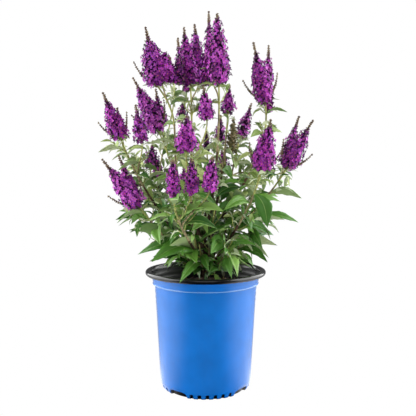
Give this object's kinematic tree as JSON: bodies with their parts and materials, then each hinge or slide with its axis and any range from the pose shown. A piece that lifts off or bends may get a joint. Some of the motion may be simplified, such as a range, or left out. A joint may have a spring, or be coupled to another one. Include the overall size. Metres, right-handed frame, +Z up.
{
  "type": "butterfly bush in a nursery pot",
  "caption": "Young purple-flowered butterfly bush standing in a round blue plastic nursery pot with a rolled lip.",
  "frame": {"origin": "middle of the pot's flat underside", "axes": "+Z up along the pot's axis, -Y towards the side that the picture shows, +X to that view's right"},
  "size_m": [0.418, 0.3806, 0.7269],
  "materials": {
    "pot": "glossy moulded blue plastic, with a black rolled lip",
    "potting_mix": "damp dark bark and peat mix",
    "bark": "dull brown young bark",
    "foliage": "soft green leaves with grey undersides, and purple flower heads"
  },
  "bodies": {
    "root": {"bough_back": "bark", "bough_back_left": "bark", "bough_back_right": "bark", "bough_front_high": "bark", "bough_front_low": "bark", "bough_inner_right": "bark", "bough_left_high": "bark", "bough_left_low": "bark", "bough_left_outer": "bark", "bough_right_front": "bark", "bough_right_outer": "bark", "bough_top": "bark", "bough_top_left": "bark", "bough_upper_left": "bark", "bough_upper_right": "bark", "mass_back": "foliage", "mass_back_left": "foliage", "mass_back_right": "foliage", "mass_foot_back": "foliage", "mass_foot_back_left": "foliage", "mass_foot_back_right": "foliage", "mass_foot_front": "foliage", "mass_foot_front_left": "foliage", "mass_foot_front_right": "foliage", "mass_foot_left": "foliage", "mass_foot_right": "foliage", "mass_front_high": "foliage", "mass_front_low": "foliage", "mass_inner_back_left": "foliage", "mass_inner_back_right": "foliage", "mass_inner_front": "foliage", "mass_inner_front_left": "foliage", "mass_inner_front_right": "foliage", "mass_inner_right": "foliage", "mass_left_high": "foliage", "mass_left_low": "foliage", "mass_left_outer": "foliage", "mass_right_front": "foliage", "mass_right_outer": "foliage", "mass_top": "foliage", "mass_top_left": "foliage", "mass_upper_left": "foliage", "mass_upper_right": "foliage", "pot": "pot", "potting_mix": "potting_mix", "trunk": "bark"}
  },
  "joints": []
}
